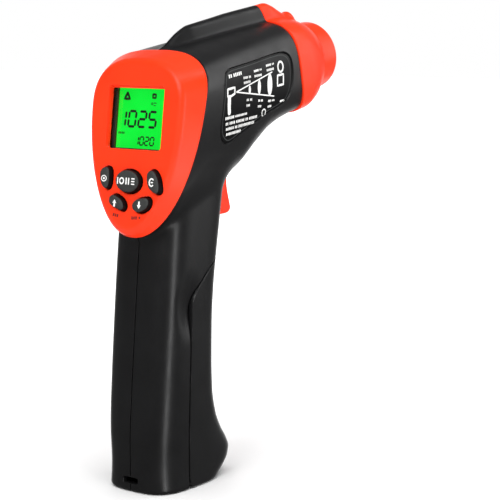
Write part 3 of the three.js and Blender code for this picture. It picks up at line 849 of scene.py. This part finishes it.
side_print = [
    # the cone of measurement, with the spots that it covers
    stroke([[36.1, 150.1], [62.6, 156.9]], 0.5), stroke([[36.1, 150.1], [64.2, 147.5]], 0.5),
    patch(oval(45.8, 150.6, 0.8, 1.6)), patch(oval(52.9, 151.4, 1.15, 2.7)),
    patch(oval(60.9, 152.1, 1.8, 4.2)),
    # the small instrument at the cone's tip
    stroke([[30, 151.3], [35, 151.9], [35, 149.6], [32.4, 148.7], [30, 148.7], [30, 151.3]], 0.85),
    stroke([[31.2, 148.4], [31.2, 145], [31.6, 142.4]], 2.1),
    # plain marks
    stroke(closed(oval(57.2, 141.3, 1.4, 1.4)), 0.5),
    stroke(closed(oval(69.2, 158.8, 2, 2)), 0.85),
    stroke([[66.8, 155.4], [71.4, 155.9], [71.4, 151.9], [66.8, 151.4], [66.8, 155.4]], 0.85),
    stroke([[69.6, 145.2], [72.6, 145.5]], 0.8),
]
LABEL_ROWS = {
    1.5: [((30.9, 156), (40.4, 157.2), [1, 2.4])],
    1.0: [((41.2, 155.2), (46.8, 155.6), [2, 1]), ((41.4, 153.3), (46.4, 153.8), [3]),
          ((49, 157.5), (54.9, 158.2), [2, 1]), ((49.2, 155.6), (54.8, 156.1), [3]),
          ((58.2, 159.4), (64.4, 160.2), [2, 1]), ((58.5, 157.6), (64, 158.2), [3]),
          ((43.6, 146.8), (47.8, 146.9), [1, 1]), ((43.6, 144.7), (46.2, 144.8), [1]),
          ((52.2, 146.2), (55.8, 146.2), [1, 1]), ((52, 144), (54.8, 144), [1]),
          ((59.8, 145.7), (64.8, 145.9), [1, 1]), ((59.8, 143.5), (62.8, 143.7), [1])],
    1.2: [((29, 140.4), (44.4, 141.7), [3, 4]), ((29.6, 138.3), (52.2, 140.2), [1, 2, 3, 1, 3]),
          ((30.2, 136.3), (50.4, 138.1), [3, 1, 6]), ((31, 134.3), (41.2, 135.3), [1])],
}
for height, rows in LABEL_ROWS.items():
    for start, end, lengths in rows:
        side_print += words(start, end, height, lengths)
border = stroke(closed(mix(PLATE, PLATE.mean(0), 0.055)), 0.3)
printed("spec_plate_border", [border], on_film, grey_frame)
printed("spec_plate_print", side_print, on_film, ink)

# ---------- collar ----------
COLLAR_FRONT = 106
# Half width, rise, drop and the two powers of the collar's section along the barrel.
COLLAR = curve([[78, 19.2, 19.5, 18.8, 3, 4.2], [84, 19, 19.5, 18.7, 3, 4.2],
                [92, 18.8, 19, 18.5, 2.8, 4], [99, 17.8, 18, 17.6, 2.5, 3.2],
                [106, 15.7, 15.8, 15.9, 2.1, 2.4], [114, 13.5, 13.6, 13.6, 2, 2]])
# The ridge's top and half width, which end in a second, lower bump.
COLLAR_RIDGE = curve([[80, 20.7, 4.6], [84, 20.8, 4.7], [87.5, 20.94, 4.8], [91.5, 19.6, 4.8],
                      [95.5, 17.3, 4.7], [99, 15.5, 4.5], [101, 15.2, 4.4], [103, 15.4, 4.2],
                      [104.8, 14.6, 3.8], [106, 12.5, 3], [107, 10, 2]])


def collar_skin(p):
    s, u = barrel(p)
    body = egg(p[:, 1], u - NOSE_AXIS, *COLLAR(s))
    top, half = COLLAR_RIDGE(s)
    rib = squircle(p[:, 1], u - RIDGE_MIDDLE, half, np.maximum(top - RIDGE_MIDDLE, 1), 2.4)
    return blend(body, rib, 2)


def station_of(p):
    return barrel(p)[0]


collar_v, collar_t = surface(collar_skin, (72, -25, 132), (116, 25, 190), 0.7)
collar_cuts = [(past_seam, 0.25), (flipped(station_of), -COLLAR_FRONT)]
v, t, n = trimmed(collar_v, collar_t, collar_cuts, collar_skin)
piece("nose_collar_cover", shell(v, t, n, WALL), orange, stands_for="nose_collar")

# ---------- nose and optics ----------
AHEAD = (math.cos(BARREL_PITCH), 0, math.sin(BARREL_PITCH))
LENS_DROP, LASER_RISE = 2.4, 8.7


def nose_axis(rise=0.0):
    return on_barrel(np.array(0.0), 0, NOSE_AXIS + rise), AHEAD


ring_profile = [(11.8, 97), (14, 97), (14, 116.9), (13.9, 117.4), (13.6, 117.8), (13.1, 117.96),
                (12.6, 117.96), (12.1, 117.8), (11.85, 117.3), (11.8, 116.7)]
piece("nose_ring_cover", turned(nose_axis(), ring_profile, 128, looped=True), orange,
      stands_for="nose_ring")


def aperture(p):
    """The plate at the nose, with a hole for the lens and a smaller one for the laser."""
    s, u = barrel(p)
    u = u - NOSE_AXIS
    disc = rounded_cut(np.hypot(p[:, 1], u) - 11.5, np.abs(s - 108.4) - 1.2, 0.2)
    lens_hole = 7 - np.hypot(p[:, 1], u + LENS_DROP)
    laser_hole = 1.6 - np.hypot(p[:, 1], u - LASER_RISE)
    return rounded_cut(rounded_cut(disc, lens_hole, 0.35), laser_hole, 0.35)


piece("aperture_disc", surface(aperture, (100, -13, 146), (114, 13, 176), 0.4), dark_trim,
      stands_for="aperture_plate")
lens_profile = [(6.5, 107.4), (6.6, 107.5), (6.6, 108.9), (6.3, 109.05), (6, 109.0), (4.5, 108.6),
                (3, 108.25), (1.5, 108), (0.4, 107.93)]
piece("lens_disc", turned(nose_axis(-LENS_DROP), lens_profile, 96), infrared_glass,
      stands_for="ir_lens")

# ---------- keys ----------
KEYS = {
    "key_laser": [[10.2, -21.7], [9.2, -22.4], [8.8, -24.2], [8.8, -27.2], [9.3, -28.8],
                  [10.4, -29.4], [11.8, -28.5], [12.8, -26.8], [13.2, -24.8], [13, -23],
                  [11.8, -21.9]],
    "key_mode": oval(-0.25, -26.25, 5.55, 4, 0.05, 14),
    "key_emissivity": [[-11.5, -21.7], [-12.9, -22.3], [-14.2, -23.8], [-15.1, -25.8],
                       [-15.5, -27.8], [-15.3, -29.3], [-14.3, -29.8], [-12.6, -29.2],
                       [-10.9, -28], [-9.9, -26], [-9.7, -23.6], [-10.3, -22.2]],
    "key_up": [[7.9, -33.6], [7.5, -32.3], [6.2, -31.7], [4.4, -32.1], [2.2, -33.3], [1, -34.8],
               [0.9, -36.2], [2, -36.9], [4.4, -36.3], [6.6, -35.5], [7.7, -34.6]],
    "key_down": [[-3.6, -34.9], [-4.2, -33.6], [-5.8, -32.6], [-8.2, -32], [-10, -31.9],
                 [-11, -32.7], [-11.1, -34], [-10.3, -35.4], [-8.6, -36.5], [-6.9, -37.1],
                 [-5.2, -36.9], [-4, -36.1]],
}
KEY_TOP = -2.3


def grown(outline, by):
    """The outline moved outwards by that much."""
    along = unit(np.roll(outline, -1, 0) - np.roll(outline, 1, 0))
    out = np.stack([along[:, 1], -along[:, 0]], -1)
    if (out * (outline - outline.mean(0))).sum() < 0:
        out = -out
    return outline + out * by


def key_mesh(outline):
    """A rubber cap: straight sides, a rolled edge and a faintly domed top, over a flange."""
    middle = outline.mean(0)
    steps = [(0.9, 4.3), (0.9, 3.5), (0.35, 3.3), (0.3, 0.4), (0.12, -1.4), (0.0, -1.75),
             (-0.22, -2.05), (-0.6, -2.2), (-1.1, -2.25)]
    rings = [(grown(outline, by), depth) for by, depth in steps]
    rings += [(mix(middle, outline, 0.5), -2.29), (mix(middle, outline, 0.2), KEY_TOP)]
    v, t = loft([on_panel(depth, *ring.T) for ring, depth in rings])
    a, b, c = v[t[:, 0]], v[t[:, 1]], v[t[:, 2]]
    inside_out = (np.cross(a, b) * c).sum() < 0
    return v, t[:, ::-1] if inside_out else t


key_outlines = {name: smooth_path(points, 5, True) for name, points in KEYS.items()}
out_of_panel = Vector((-math.cos(PANEL_TILT), 0, math.sin(PANEL_TILT)))
for name, outline in key_outlines.items():
    cap = piece(name + "_cap", key_mesh(outline), key_rubber, name + "_body", name)
    # Faces that turn away from the panel's front take the darker copy: painted shade on the cap's
    # sides.
    cap.data.materials.append(key_painted_shade)
    for face in cap.data.polygons:
        if face.normal.dot(out_of_panel) < 0.5:
            face.material_index = 1


def on_keys(y, v, out):
    return on_panel(KEY_TOP - out, y, v)


def on_face(y, v, out):
    return on_panel(-out, y, v)


def arrow(y, v, up):
    """An arrow of stem and head, pointing up or down the panel."""
    stem = stroke([[y, v - 1.1 * up], [y, v + 0.1 * up]], 0.8)
    tip = patch([[y - 0.95, v], [y + 0.95, v], [y, v + 1.35 * up]])
    return [stem, tip]


def upright(y):
    return stroke([[y, -25.1], [y, -27.3]], 0.55)


KEY_PRINT = {
    "key_laser": [stroke(closed(oval(10.75, -25.8, 1.2, 1.05)), 0.35),
                  patch(oval(10.75, -25.8, 0.45, 0.4))],
    "key_mode": [upright(3.9), stroke(closed(oval(1.9, -26.2, 0.95, 1.05)), 0.5), upright(-0.3),
                 upright(-1.5)]
                + [stroke([[-2.9, v], [-4.2, v]], 0.45) for v in (-25.2, -26.2, -27.2)],
    "key_emissivity": [stroke(oval(-12.5, -26, -1.05, 1.35)[3:22], 0.5),
                       stroke([[-12.2, -26], [-13.1, -26]], 0.45)],
    "key_up": arrow(4.7, -34.6, 1),
    "key_down": arrow(-7.3, -34.6, -1),
}
for name, shapes in KEY_PRINT.items():
    printed(name + "_print", shapes, on_keys, ink, name + "_body")
face_marks = words([7.2, -38.9], [4.2, -39.3], 1.3, [1])
face_marks += words([-2, -39.6], [-6.8, -39.2], 1.3, [2, 1])
printed("face_marks", face_marks, on_face, faded_ink)

# ---------- bezel ----------
BEZEL_DEPTH = 9.6


def bezel_share(p):
    return between_planes(p, PANEL_ORIGIN, RIM_CENTRE, PANEL_TILT, RIM_TILT)


def bezel_skin(p):
    t, v = bezel_share(p)
    t = np.clip(t, -0.2, 1.2)
    side = egg(p[:, 1], v, mix(21.7, RIM_ACROSS, t), mix(18.6, RIM_ABOVE, t),
               mix(45.4, RIM_BELOW, t), mix(2.55, 2.8, t), mix(1.9, RIM_POWER, t))
    return rounded_cut(side, -panel(p)[0], 1.7)


def to_rim(p):
    """How far short of the rim, on the scale of the bezel's depth."""
    return -bezel_share(p)[0] * BEZEL_DEPTH


def window_edge(p):
    return rounded_box(p[:, 1], panel(p)[1] + 2.7, 13.4, 11.7, 1.3)


def window_hole(p):
    return np.where(panel(p)[0] < 3, window_edge(p), FAR)


def winding(outline):
    """1 if the outside of the outline is on the right of its direction, else -1."""
    x, y = outline.T
    return 1 if (x * np.roll(y, -1) - y * np.roll(x, -1)).sum() > 0 else -1


key_gaps = [(grown(outline, 0.65), winding(outline)) for outline in key_outlines.values()]


def key_holes(p):
    depth, v = panel(p)
    spots = np.stack([p[:, 1], v], -1)
    gaps = [to_line(spots, outline, True) * turn for outline, turn in key_gaps]
    return np.where(depth < 3, np.min(gaps, axis=0), FAR)


def window_wall(p):
    """The lining between the front of the bezel and the window."""
    depth, v = panel(p)
    ring = window_edge(p)
    wall = rounded_cut(rounded_cut(0.25 - ring, ring - 1.4, 0.15), np.abs(depth - 2.1) - 1.1, 0.15)
    ledge = rounded_box(p[:, 1], v - 8.95, 13.8, 0.75, 0.3)
    return np.minimum(wall, rounded_cut(ledge, np.abs(depth - 2.4) - 0.75, 0.15))


bezel_v, bezel_t = surface(bezel_skin, (-9, -29, 92), (24, 29, 170), 0.7)
bezel_cuts = [(to_rim, -9.4), (window_hole, 0), (key_holes, 0)]
v, t, n = trimmed(bezel_v, bezel_t, bezel_cuts, bezel_skin)
lining = surface(window_wall, (-2, -17, 124), (16, 17, 160), 0.5)
piece("bezel_cover", joined(shell(v, t, n, 2.0), lining), orange, stands_for="display_bezel")

# ---------- display ----------
GLASS_FRONT = 5.7
SEGMENTS = {"a": ((0, 1), (1, 1)), "b": ((1, 1), (1, 0.5)), "c": ((1, 0.5), (1, 0)),
            "d": ((0, 0), (1, 0)), "e": ((0, 0.5), (0, 0)), "f": ((0, 1), (0, 0.5)),
            "g": ((0, 0.5), (1, 0.5))}
SLANT = 0.09
DIGITS = {"0": "abcdef", "1": "bc", "2": "abged", "5": "afgcd"}


def digit(figure, y, v, width, height, thick):
    """A seven-segment figure whose lower left corner is at (y, v); it reads towards -y."""
    bars = []
    for name in DIGITS[figure]:
        start, end = (np.array([a * width, b * height]) for a, b in SEGMENTS[name])
        trim = unit(end - start) * thick * 0.62
        ends = [[y - a - SLANT * b, v + b] for a, b in (start + trim, end - trim)]
        bars.append(stroke(ends, thick))
    return bars


def on_glass(y, v, out):
    return on_panel(GLASS_FRONT - 0.05 - out, y, v)


screen = []
for k, figure in enumerate("1025"):
    screen += digit(figure, 12.85 - 4.95 * k, -5.8, 3.4, 5.7, 0.92)
for k, figure in enumerate("1020"):
    screen += digit(figure, 4.1 - 2.5 * k, -12.5, 1.75, 3, 0.55)
screen += [stroke([[9.1, 6.7], [10.4, 4.4], [7.8, 4.4], [9.1, 6.7]], 0.95),
           stroke([[-3.4, 6.4], [-4.8, 6.4], [-4.8, 5.1], [-3.4, 5.1], [-3.4, 6.4]], 0.75),
           stroke(closed(oval(-3.3, 2.9, 0.35, 0.4, 0, 12)), 0.28),
           stroke([[-4.1, 3.2], [-5.2, 3.2]], 0.32), stroke([[-4.1, 2.3], [-4.9, 2.3]], 0.32)]
screen += words([12.4, -8.3], [9.2, -8.3], 0.9, [3])
printed("display_segments", screen, on_glass, dark_trim)

# ---------- trigger ----------
TRIGGER = smooth_path([[54, 117], [54.3, 112.6], [55.1, 109], [56.2, 105.4], [56.6, 103.2],
                       [55.4, 101.7], [52.5, 101.2], [46, 101.3], [41, 101.8], [38.4, 103.2],
                       [37.1, 108], [37.1, 116.5], [40, 121.8], [43, 123.9], [46, 124.7],
                       [49.5, 123.6], [52.4, 120.6]], 6, True)


def trigger_skin(p):
    side = -to_line(p[:, [0, 2]], TRIGGER, True)
    return rounded_cut(side, np.abs(p[:, 1]) - 4.9, 1.3)


piece("trigger_body_cover", surface(trigger_skin, (34, -7, 98), (60, 7, 128), 0.5), orange,
      "trigger_body", "trigger")

# ---------- screws ----------
def screw_head(p):
    """A domed head with a cross recess."""
    r = np.hypot(p[:, 0], p[:, 1])
    dome = np.maximum(r - 2.7, np.hypot(r, p[:, 2] + 2.4) - 4.1)
    body = rounded_cut(dome, -p[:, 2], 0.2)
    slot = np.minimum(np.maximum(np.abs(p[:, 0]) - 0.35, np.abs(p[:, 1]) - 1.7),
                      np.maximum(np.abs(p[:, 1]) - 0.35, np.abs(p[:, 0]) - 1.7))
    return rounded_cut(body, -np.maximum(slot, 0.7 - p[:, 2]), 0.1)


head_v, head_t = surface(screw_head, (-3.4, -3.4, -0.6), (3.4, 3.4, 2.4), 0.2)
for k, (x, z) in enumerate(SCREWS):
    name = f"housing_screw_{k + 1}"
    seat = outer_y(x, z) - 4.15
    v = np.stack([head_v[:, 0] + x, head_v[:, 2] + seat, head_v[:, 1] + z], -1)
    shank = turned(((x, -6.4, z), (0, 1, 0)),
                   [(0.2, 0), (1.2, 1.2), (1.3, 1.4), (1.3, seat + 6.6)], 24)
    piece(name + "_body", joined((v, head_t[:, ::-1]), shank), steel, stands_for=name)

# ---------- power ----------
BATTERY_X = 19.75


def battery_can(p):
    side = rounded_box(p[:, 0] - BATTERY_X, p[:, 1], 8.65, 13.15, 2.2)
    can = rounded_cut(side, np.abs(p[:, 2] - 31.45) - 23.15, 0.5)
    sunk_top = np.maximum(side + 1.3, 54 - p[:, 2])
    return -blend(-can, sunk_top, 0.5)


def terminal(y, radius):
    return turned(((BATTERY_X, y, 53.6), (0, 0, 1)),
                  [(radius, 0), (radius, 2.2), (radius - 0.3, 2.7), (radius - 0.9, 2.9)], 32)


can = surface(battery_can, (9, -15, 6), (31, 15, 57), 0.7)
piece("battery_can", joined(can, terminal(-6.3, 2.9), terminal(6.3, 4)), wrap, stands_for="battery")
for name, side, look in (("battery_lead_red", 1, wire_red), ("battery_lead_black", -1, wire_black)):
    path = [[BATTERY_X, side * 5, 60.3], [20, side * 5, 65], [22, side * 6, 76],
            [21, side * 6.5, 92], [16, side * 5, 104], [13.9, side * 5, 109]]
    piece(name + "_wire", tube(path, 0.6), look, stands_for=name)
piece("sensor_lead_wire", tube([[22.5, 0, 152], [34, 0, 150], [50, 0, 152], [65.6, 0, 154]], 1),
      wire_grey, stands_for="sensor_lead")

# ---------- carried-over pieces ----------
FINISH = (
    (clear, "display_window"), (lit, "lcd_glass"), (diffuser, "backlight"),
    (grey_frame, "display_frame"), (aluminium, "sensor_tube"), (brass, "laser_module"),
    (soft_black, "zebra_strip", "keypad_membrane", "battery_snap"),
    (board_green, "main_board", "sensor_board"), (dark_trim, "buzzer", "trigger_switch"),
    (steel, "thermopile", "trigger_pin", "trigger_spring", "door_hinge_pin"),
    (wire_red, "switch_plunger", "laser_lead", "switch_lead"),
)
for look, *names in FINISH:
    for name in names:
        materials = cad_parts[name].data.materials
        materials.clear()
        materials.append(look)

# ---------- stage, light and camera ----------
WHITE = (1, 1, 1, 1)


def stage_floor():
    """A pale floor with a painted glow, none near the object and growing with the distance from it,
    so that it fades into the white backdrop.
    """
    data = bpy.data.meshes.new("floor")
    data.from_pydata([(-4, -4, 0), (4, -4, 0), (4, 4, 0), (-4, 4, 0)], [], [(0, 1, 2, 3)])
    look = Look("floor", (0.76, 0.76, 0.76, 1), 0.5, Specular_IOR_Level=0.1,
                Emission_Color=WHITE)
    away = look.node("VectorMath", Vector=look.place)
    away.operation = "LENGTH"
    # The emission is painted light: it brightens the floor away from the object and leaves the
    # floor near the object to its lamps and shadow.
    look.set(look.shader, Normal=look.bump(look.noise(700, 3), 0.02, 0.0001),
             Emission_Strength=look.spread(away.outputs["Value"], 0, 0.6, 0.03, 0.3))
    data.materials.append(look.material)
    floor = placed("floor", data)
    floor.visible_glossy = False
    floor.visible_shadow = False


def aimed(thing, place, direction):
    thing.location = place
    thing.rotation_mode = "QUATERNION"
    thing.rotation_quaternion = direction.to_track_quat("-Z", "Y")


def area_light(name, place, target, size, power):
    data = bpy.data.lights.new(name, "AREA")
    data.shape = "RECTANGLE"
    data.size, data.size_y = size
    data.energy = power
    lamp = placed(name, data)
    lamp.visible_camera = False
    aimed(lamp, place, Vector(target) - Vector(place))


stage_floor()
head_middle, body_middle = (0.02, 0, 0.12), (0, 0, 0.1)
area_light("key", (-0.75, -0.1, 0.75), (0, 0, 0.13), (0.45, 0.45), 5)
area_light("side", (-0.35, -0.9, 0.1), body_middle, (0.14, 1.0), 3.4)
area_light("rim", (0.75, -0.35, 0.5), head_middle, (0.2, 0.8), 1.3)
area_light("fill", (0.7, -0.8, 0.25), head_middle, (0.5, 0.5), 1.4)
area_light("back", (0.95, 0.75, -0.05), body_middle, (1.4, 1.3), 5)
area_light("top", (-0.15, -0.35, 0.9), (0.05, 0, 0.17), (0.5, 0.12), 1.3)

overhead = bpy.data.lights.new("overhead", "SUN")
overhead.energy = 2.9
overhead.angle = math.radians(60)
placed("overhead", overhead).visible_glossy = False

# The backdrop is plain white, and lights the object far less than it shows.
world = bpy.data.worlds.new("studio")
studio = Nodes(world)
room = studio.nodes["Background"]
studio.set(room, Color=WHITE, Strength=0.17)
backdrop = studio.node("Background", Color=WHITE, Strength=1.0)
seen = studio.node("LightPath").outputs["Is Camera Ray"]
studio.set(studio.nodes["World Output"], Surface=studio.mixed(seen, room, backdrop))
bpy.context.scene.world = world
bpy.context.scene.view_settings.view_transform = "Standard"

lens = bpy.data.cameras.new("camera")
lens.lens = 108
lens.sensor_width = 36
lens.clip_start = 0.05
camera = placed("camera", lens)
aimed(camera, (-0.4192, -0.3662, 0.1746), Vector((0.7899, 0.5952, -0.1478)))
bpy.context.scene.camera = camera
